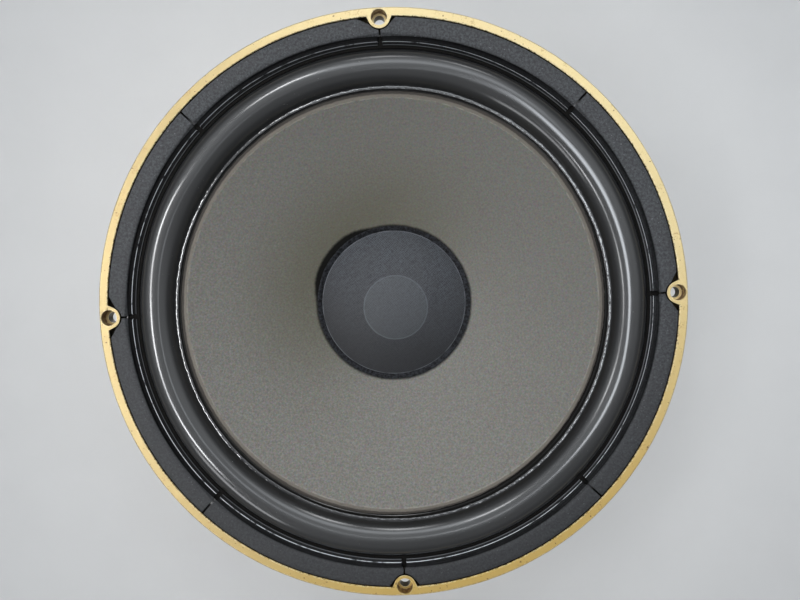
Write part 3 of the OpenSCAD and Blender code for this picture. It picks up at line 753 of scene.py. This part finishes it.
def tube(path, radius, sides):
    """Points and faces of a closed round tube along a path of points."""
    points = []
    across = Vector((0.3, 0.2, 1.0))
    for i, spot in enumerate(path):
        along = path[min(i + 1, len(path) - 1)] - path[max(i - 1, 0)]
        across, other = upright(along, across)
        for k in range(sides):
            a = TURN * k / sides
            points.append(spot + (across * math.cos(a) + other * math.sin(a)) * radius)
    return points, loop_faces(len(path), sides, False)


def joined(parts):
    """Joins several sets of points and faces into one."""
    points, faces = [], []
    for part_points, part_faces in parts:
        faces += [tuple(v + len(points) for v in face) for face in part_faces]
        points += part_points
    return points, faces


# Surround: a half roll of rubber with a flat outer flange and an inner lip

def beside_boss(angle):
    """How far sideways a direction lies from the middle of the nearest screw boss, in millimetres."""
    off = abs((angle + TURN / 8) % (TURN / 4) - TURN / 8)
    return bolt_r * math.sin(off)


def cut_round_boss(edge, side, clear):
    """Radius of an edge that keeps clear of a boss's middle."""
    if side >= clear:
        return edge
    return min(edge, bolt_r - math.sqrt(clear ** 2 - side ** 2))


flange_boss_gap = 1.35
flange_mid_r = 176.0
# Degrees of the roll's arc that its two soft bends take up
outer_bend = 5
inner_bend = 11


def surround_section(angle):
    """The flange, the roll, whose crown leans in and out a little, and the lip, as a sheet of rubber."""
    base_z = ledge_z + rubber_t / 2
    edge_r = cut_round_boss(surround_r, beside_boss(angle), boss_r + flange_boss_gap)
    radius = (roll_half_w ** 2 + roll_h ** 2) / (2 * roll_h)
    centre = (roll_r, base_z + roll_h - radius)
    foot = math.degrees(math.asin(roll_half_w / radius))
    lean = 0.8 * wander(angle, 2.6, 41) - 0.4 * math.cos(8 * angle)
    roll = arc(centre, radius, foot - outer_bend, inner_bend - foot, 40)
    roll = [(r + lean * math.cos((r - roll_r) / roll_half_w * math.pi / 2), z) for r, z in roll]
    outer_foot = (roll_r + roll_half_w, base_z)
    inner_foot = (roll_r - roll_half_w, base_z)
    outer_flat = (outer_foot[0] + 0.8, base_z)
    inner_flat = (inner_foot[0] - 1.2, base_z)
    path = [(edge_r, base_z), (flange_mid_r, base_z), outer_flat]
    path += eased(outer_flat, outer_foot, roll[0]) + roll + eased(roll[-1], inner_foot, inner_flat)
    path += [inner_flat, (lip_in_r, base_z)]
    return thickened(path, rubber_t)


in_sectors("surround", "surround", surround_section, 24, 12, "surround_rubber")


def flange_glue_section(angle):
    """The glue between gasket and flange, near-black and dull as painted shade; it shows in the slits and in
    the crease.
    """
    inner_r, outer_r = 168.25, 176.4
    lift = 0.55 + 0.15 * wander(angle, 30, 31)
    under = [(inner_r, rubber_top_z - bite), (outer_r, rubber_top_z - bite)]
    over = [(outer_r, rubber_top_z + 0.1), (inner_r + 1.0, rubber_top_z + 0.12)]
    return under + over + [(inner_r + 0.05, rubber_top_z + lift)]


flange_glue = swept("flange_glue", flange_glue_section, round_angles(720), "black_adhesive",
                    finish="glue_and_painted_shade")
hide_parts("surround")
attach(flange_glue, "basket")


# Gasket: eight segments, their outer corners cut back round the screw bosses

segment_gap = 1.2
groove_gap = 3.4
groove_depth = 1.9
gasket_boss_gap = 0.6
corner_depth = 4.0
# How far from a boss's middle each segment's slanting cut runs out
corner_widths = (14.0, 10.5, 14.5, 14.0, 13.5, 10.0, 10.0, 12.5)


def gasket_edge(angle, corner_w):
    """Radius of the gasket's outer edge, less the slanting cut and the round cut beside a boss."""
    side = beside_boss(angle)
    slant = corner_depth * (corner_w - side) / (corner_w - boss_r)
    edge = recess_r - 0.55 - min(max(slant, 0.0), corner_depth)
    return cut_round_boss(edge, side, boss_r + gasket_boss_gap)


def ripple(share, rate, shift, layer):
    """Smooth noise from -1 to 1 along a segment; each segment has its own shift."""
    return noise.noise(Vector((share * rate, shift, layer)))


def gasket_section(share, shift, edge, face_r, fullness):
    """A segment's section: torn outer edge, felted face, groove and bead. Fullness falls to 0 at its ends."""
    base, top = rubber_top_z, gasket_z
    groove_z = top - groove_depth
    bead_r, lip_r = gasket_bead_r, gasket_lip_r
    rise = ripple(share, 9, shift, 7) * 0.14
    droop = (1 - fullness) * 0.35
    section = [(edge, base), (edge + 0.05, top - 0.7 + rise), (edge - 0.12, top - 0.22 + rise - droop)]
    section += [(edge - 0.5, top + rise * 0.6 - droop)]
    for inwards in (0.25, 0.5, 0.75):
        r = edge - 0.5 + (face_r + 0.5 - edge + 0.5) * inwards
        lump = noise.noise(Vector((r * 0.25, share * 60, shift))) * 0.10
        section.append((r, top + lump - droop))
    section += [(face_r + 0.45, top - 0.05 - droop), (face_r + 0.08, top - 0.3), (face_r - 0.5, top - 1.1)]
    section += [(gasket_face_r - 1.1, groove_z), (bead_r + 0.75, groove_z)]
    section += arc((bead_r, groove_z), 0.35 + 0.35 * fullness, 75, -80, 7)
    section += [(bead_r - 0.8, groove_z - 0.15), (lip_r + 0.25, base + 0.75), (lip_r, base + 0.4)]
    section += [(lip_r + 0.1, base)]
    return section


def make_gasket_segment(number):
    """Runs the section along one segment, in columns that crowd towards its ends."""
    middle = TURN * (number - 0.5) / 8
    half = TURN / 16
    columns = 150
    shift = random.Random(number).uniform(0, 50)
    points = []
    for i in range(columns + 1):
        s = 2 * i / columns - 1
        share = 0.3 * s + 0.7 * math.sin(math.pi / 2 * s)
        from_end = (1 - abs(share)) * half * gasket_bead_r
        angle = middle + share * (half - segment_gap / 2 / bolt_r)
        inner_angle = middle + share * (half - groove_gap / 2 / gasket_bead_r)
        fray = ripple(share, 95, shift, 0) * 0.20 + ripple(share, 22, shift, 3) * 0.12
        edge = gasket_edge(angle, corner_widths[number - 1]) + fray
        face_r = gasket_face_r + 1.1 * math.exp(-from_end / 9) + 0.25 * ripple(share, 6, shift, 11)
        fullness = math.sqrt(max(0.0, 1 - (1 - min(1, from_end / 0.8)) ** 2))
        section = gasket_section(share, shift, edge, face_r, fullness)
        for r, z in section:
            a = angle if r > gasket_face_r else inner_angle
            points.append((r * math.cos(a), r * math.sin(a), min(z, rim_z)))
    name = f"gasket_segment_{number}"
    faces = loop_faces(columns + 1, len(section), False)
    piece = piece_of(f"gasket_{number}", points, faces, "gasket_felt", 50)
    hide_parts(name)
    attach(piece, "basket")


for number in range(1, 9):
    make_gasket_segment(number)


# Cone: flat glued edge, straight felted face, neck at the coil

def cone_section(angle):
    """The flat edge with its torn fold, the slightly wavy face and the straight back."""
    sag = 0.12 * wander(angle, 3.0, 4.0)
    fray = 0.18 * wander(angle, 40.0, 9.0)
    bent_r = fold_r + fray - 1.2
    face = [(cone_r, ledge_z - 0.05), (fold_r + 1.4, ledge_z), (fold_r + 0.5, ledge_z + 0.10 + fray)]
    face += [(fold_r + fray * 0.5, ledge_z + 0.12), (fold_r - 0.5, cone_z(fold_r - 0.5) + 0.04)]
    face += [(bent_r, cone_z(bent_r))]
    steps = 22
    for i in range(1, steps + 1):
        r = fold_r - 1.2 + (neck_r - fold_r + 1.2) * i / steps
        wave = math.sin(math.pi * i / steps)
        face.append((r, cone_z(r) + sag * wave))
    under = [(neck_r, neck_z - cone_drop)]
    for i in range(1, steps + 1):
        r = neck_r + (fold_r - 0.4 - neck_r) * i / steps
        under.append((r, cone_z(r) - cone_drop))
    under += [(fold_r + 0.4, ledge_z - cone_t), (cone_r, ledge_z - cone_t)]
    return face + under


cone = swept("cone_paper", cone_section, round_angles(360), "cone_paper", crease=60)
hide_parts("cone")
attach(cone, "cone_assembly")


# Adhesive: a hand-laid bead on the lip's edge, with a groove of dull glue inside it that is painted
# near-black as shade

bead_mid_r = 143.6
bead_half_w = 1.45
bead_h = 0.9
# The higher this power, the flatter the bead's top
bead_power = 2.6


def bead_section(angle):
    """A flat-topped bead, laid further out at the lower left, whose top leans this way and that."""
    middle = bead_mid_r - 0.55 * math.cos(angle - math.radians(110))
    middle += 0.2 * wander(angle, 5, 1) + 0.1 * wander(angle, 60, 2)
    width = bead_half_w + 0.25 * wander(angle, 18, 3) + 0.2 * wander(angle, 75, 4)
    height = bead_h + 0.2 * wander(angle, 25, 5) + 0.1 * wander(angle, 90, 6)
    lean = math.radians(8.5 * math.cos(angle - math.radians(150)) + 8 * wander(angle, 45, 9))
    base = rubber_top_z - bite
    steps = 12
    crown = []
    for i in range(steps + 1):
        share = 1 - i / (steps / 2)
        rise = (1 - abs(share) ** bead_power) ** (1 / bead_power)
        crown.append((middle + share * width, base + height * rise - share * width * rise * math.tan(lean)))
    return crown


def groove_section(angle):
    """The dull glue inside the bead, painted near-black as shade; it reaches furthest over the cone's edge at
    the lower right.
    """
    reach = 1.5 * max(0.0, math.cos(angle - math.radians(315))) ** 3
    inner_r = lip_in_r - reach + 0.3 * wander(angle, 30, 7) + 0.25 * wander(angle, 90, 8)
    inner_r = min(inner_r, lip_in_r)
    outer_r = bead_mid_r - 0.2
    over = [(inner_r, ledge_z + 0.06), (inner_r + 0.2, ledge_z + 0.22), (lip_in_r + 0.3, rubber_top_z + 0.05)]
    under = [(outer_r, rubber_top_z - bite), (lip_in_r + 0.15, ledge_z + bite)]
    return over + [(outer_r, rubber_top_z + 0.1)] + under


bead = swept("edge_bead", bead_section, round_angles(1440), "black_adhesive")
groove = swept("edge_groove", groove_section, round_angles(1440), "black_adhesive", finish="glue_and_painted_shade")
for piece in (bead, groove):
    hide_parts("edge_adhesive")
    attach(piece, "cone_assembly")


# Dust cap: a cloth dome, glued to the cone with a black fillet

def dome_section(angle):
    """Half of the dome's section, from its middle out and back."""
    edge_z = cone_z(dome_r) + 0.1 + cap_t * math.sqrt(1 + cone_slope ** 2)
    radius = (dome_r ** 2 + dome_h ** 2) / (2 * dome_h)
    centre = (0.0, edge_z + dome_h - radius)
    reach = math.degrees(math.asin(dome_r / radius))
    sag = 0.25 * wander(angle, 1.5, 11)
    outer = [(r, z + sag * math.sin(math.pi * r / dome_r)) for r, z in arc(centre, radius, 0, reach, 26)]
    inner = arc(centre, radius - cap_t, reach - 0.4, 0, 14)
    return outer + inner


def make_dome():
    """Sweeps the dome and welds the points that fall together at its middle."""
    dome = swept("cap_dome", dome_section, round_angles(180), "cap_cloth", crease=60)
    work = bmesh.new()
    work.from_mesh(dome.data)
    bmesh.ops.remove_doubles(work, verts=work.verts, dist=0.01 * MM)
    bmesh.ops.delete(work, geom=[edge for edge in work.edges if edge.is_wire], context="EDGES")
    bmesh.ops.recalc_face_normals(work, faces=work.faces)
    work.to_mesh(dome.data)
    work.free()
    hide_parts("dust_cap")
    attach(dome, "cone_assembly")


make_dome()


def glue_section(angle):
    """The fillet of glue between the dome's edge and the cone; it runs out unevenly over the paper."""
    spill = 0.35 * wander(angle, 4, 21) + 0.22 * wander(angle, 30, 22) + 0.12 * wander(angle, 80, 23)
    outer_r = cap_r - 0.45 + spill
    lift = 0.75 + 0.2 * wander(angle, 12, 24) + 0.15 * wander(angle, 60, 25)
    inner_r = dome_r - 0.1
    lower = [(inner_r - 0.9, cone_z(inner_r - 0.9) + 0.12), (outer_r, cone_z(outer_r) + 0.06)]
    upper = [(outer_r - 0.25, cone_z(outer_r - 0.25) + 0.4 * lift)]
    for share, rise in ((0.25, 0.9), (0.5, 1.0), (0.75, 0.95)):
        r = outer_r + (inner_r - outer_r) * share
        upper.append((r, cone_z(r) + rise * lift))
    upper.append((inner_r, cone_z(inner_r) + 1.05))
    return lower + upper


glue = swept("cap_glue", glue_section, round_angles(960), "black_adhesive", finish="satin_glue")
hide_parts("dust_cap")
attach(glue, "cone_assembly")


# Spider: corrugated cloth from the coil former to its seat

spider_mid_z = -51.7
collar_r = 50.7
wave_in_r = 53.7
wave_out_r = 88.5
wave_h = 1.75
half_waves = 8
spider_t = 0.6


def spider_section(angle):
    """The collar on the former, the waves and the flat rim, the same at every angle."""
    pitch = (wave_out_r - wave_in_r) / half_waves
    inside_r = collar_r + spider_t / 2
    path = [(inside_r, spider_mid_z + 2.7), (inside_r, spider_mid_z + 1.2)]
    path += [(collar_r + 0.6, spider_mid_z + 0.35), (collar_r + 1.3, spider_mid_z)]
    path += [(wave_in_r - 0.5, spider_mid_z)]
    steps = 64
    for i in range(1, steps):
        r = wave_in_r + (wave_out_r - wave_in_r) * i / steps
        path.append((r, spider_mid_z + wave_h * math.sin(math.pi * (r - wave_in_r) / pitch)))
    path += [(wave_out_r + 0.6, spider_mid_z), (spider_r, spider_mid_z)]
    return thickened(path, spider_t)


in_sectors("spider", "spider", spider_section, 24, 8, "spider_cloth")


# Braided leads: eight strands woven along a hanging arc

lead_r = 1.1
lead_sag = 6.0
strand_r = 0.30
strand_count = 8
braid_pitch = 9.0
pad_r = 68.0
pad_t = 1.2


def lead_route(x):
    """Points along a lead, from its lug to the pad on the cone's back."""
    start = Vector((x, lead_outer_y + 1.2, lug_bottom_z + 1.5))
    end = Vector((x, lead_inner_y - 0.4, cone_z(pad_r) - cone_drop - pad_t - lead_r - 0.5))
    steps = 72
    route = []
    for i in range(steps + 1):
        t = i / steps
        route.append(start.lerp(end, t) - Vector((0, 0, lead_sag * 4 * t * (1 - t))))
    return route


def braided(route):
    """Points and faces of strands that wind both ways round a route, over and under each other."""
    parts = []
    length = 0.0
    travelled = [0.0]
    for a, b in zip(route, route[1:]):
        length += (b - a).length
        travelled.append(length)
    for number in range(strand_count):
        way = 1 if number % 2 else -1
        phase = TURN * (number // 2) / (strand_count // 2)
        path = []
        for i, spot in enumerate(route):
            along = route[min(i + 1, len(route) - 1)] - route[max(i - 1, 0)]
            side, other = upright(along, Vector((1, 0, 0)))
            a = phase + way * TURN * travelled[i] / braid_pitch
            weave = lead_r * (0.72 + 0.10 * math.cos(2 * a + number))
            path.append(spot + (side * math.cos(a) + other * math.sin(a)) * weave)
        parts.append(tube(path, strand_r, 6))
    return joined(parts)


for name, side in TERMINALS:
    points, faces = braided(lead_route(side * post_x))
    lead = piece_of(f"braided_lead_{name}", points, faces, "copper_braid")
    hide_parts(f"tinsel_lead_{name}")
    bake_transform(lead)


# Terminal springs: round wire wound on each stem, behind the push button

coil_r = 2.95
coil_turns = 6
wire_r = 0.33


def spring_path(x, first_y, last_y):
    """Points along a coil round a stem."""
    steps = coil_turns * 20
    path = []
    for i in range(steps + 1):
        t = i / steps
        a = TURN * coil_turns * t
        y = first_y + (last_y - first_y) * t
        path.append(Vector((x + coil_r * math.cos(a), y, post_z + coil_r * math.sin(a))))
    return path


for name, side in TERMINALS:
    node = f"terminal_spring_{name}"
    near_y, far_y = high(node).y - 0.4, low(node).y + 0.4
    points, faces = tube(spring_path(side * post_x, near_y, far_y), wire_r, 8)
    spring = piece_of(f"spring_{name}", points, faces, "spring_steel")
    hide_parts(node)
    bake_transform(spring)


# Floor and light

def make_floor():
    """A wide round floor at the magnet's base; its reach is in metres."""
    f = Finish("floor")
    colour = f.mix(f.noise(60, 4, 0.6), (0.57, 0.565, 0.56), (0.61, 0.605, 0.60))
    paint = f.surface({"Base Color": colour, "Roughness": 0.85})
    reach, sides = 7.0, 96
    corners = [(reach * math.cos(a), reach * math.sin(a), cad_box[0].z) for a in round_angles(sides)]
    mesh = bpy.data.meshes.new("floor")
    mesh.from_pydata(corners, [], [range(sides)])
    mesh.materials.append(paint)
    floor = bpy.data.objects.new("floor", mesh)
    bpy.context.scene.collection.objects.link(floor)


def make_light(name, azimuth, out, height, size, radiance, colour, aim=(0.0, 0.0), beam=90):
    """A flat light. Angles are in degrees, lengths in metres, in the photograph's axes. Size is its width
    round the part and its depth, aim the place on the plan that it faces, and beam its half spread."""
    lamp = bpy.data.lights.new(name, "AREA")
    lamp.shape = "RECTANGLE"
    lamp.size, lamp.size_y = size
    half = math.radians(beam)
    lamp.spread = 2 * half
    focus = math.tan(half) / (math.tan(half) - half) if beam < 90 else 1.0
    lamp.energy = radiance * math.pi * size[0] * size[1] / focus
    lamp.color = colour
    holder = bpy.data.objects.new(name, lamp)
    direction = math.radians(azimuth)
    spot = (out * math.cos(direction) / MM, out * math.sin(direction) / MM, height / MM)
    holder.location = turned_to_holes(spot)
    facing = turned_to_holes((aim[0] / MM, aim[1] / MM, 0.0)) - holder.location
    holder.rotation_euler = facing.to_track_quat("-Z", "Y").to_euler()
    bpy.context.scene.collection.objects.link(holder)


def make_world():
    """A soft dome of light: bright overhead, dim at the horizon and on the side where one stands to look."""
    world = bpy.data.worlds.new("studio")
    world.use_nodes = True
    dome = Nodes(world.node_tree)
    way = dome.node("ShaderNodeTexCoord", {}, {}, "Generated")
    across, up = (dome.node("ShaderNodeSeparateXYZ", {}, {0: way}, axis) for axis in (1, 2))
    overhead = dome.ramp(up, 0.25, 0.72) * (0.3 + 0.7 * dome.ramp(across, -0.4, 0.2))
    shine = {"Color": (0.92, 0.96, 1.0, 1.0), "Strength": 0.24 + overhead * 0.90}
    sky = dome.node("ShaderNodeBackground", {}, shine)
    dome.node("ShaderNodeOutputWorld", {}, {"Surface": sky})
    bpy.context.scene.world = world
    bpy.context.scene.view_settings.view_transform = "Standard"


make_floor()
make_world()
cool = (0.90, 0.95, 1.0)
neutral = (0.97, 0.985, 1.0)
# Narrow windows draw the roll's bright lines. The high ones draw those at the left and the upper left;
# the low ones stand beyond the far side and draw those at the near side
high_spot = (1.15, 1.5)
low_spot = (1.05, 0.62)
for number, azimuth in enumerate((166, 189, 212), 1):
    make_light(f"left_window_{number}", azimuth, *high_spot, (0.50, 0.22), 29.0, neutral, (-0.15, 0.0), 11)
make_light("upper_left_window", 120, *high_spot, (0.36, 0.18), 20.0, neutral, (-0.08, 0.12), 16)
make_light("low_left_window", 230, 2.0, 1.2, (0.9, 0.5), 3.5, neutral)
make_light("top_window", 90, 1.2, 1.6, (1.4, 0.7), 0.8, cool)
make_light("top_panel", 80, 0.52, 0.75, (0.7, 0.25), 1.25, cool)
make_light("low_window", 95, *low_spot, (1.5, 0.30), 9.0, neutral, (0.0, -0.3), 9)
make_light("low_window_right", 74, *low_spot, (0.5, 0.30), 9.0, neutral, (-0.09, -0.29), 9)
make_light("lamp_right", 26, 0.19, 0.9, (0.40, 0.2), 13.0, cool, (0.22, 0.06), 20)
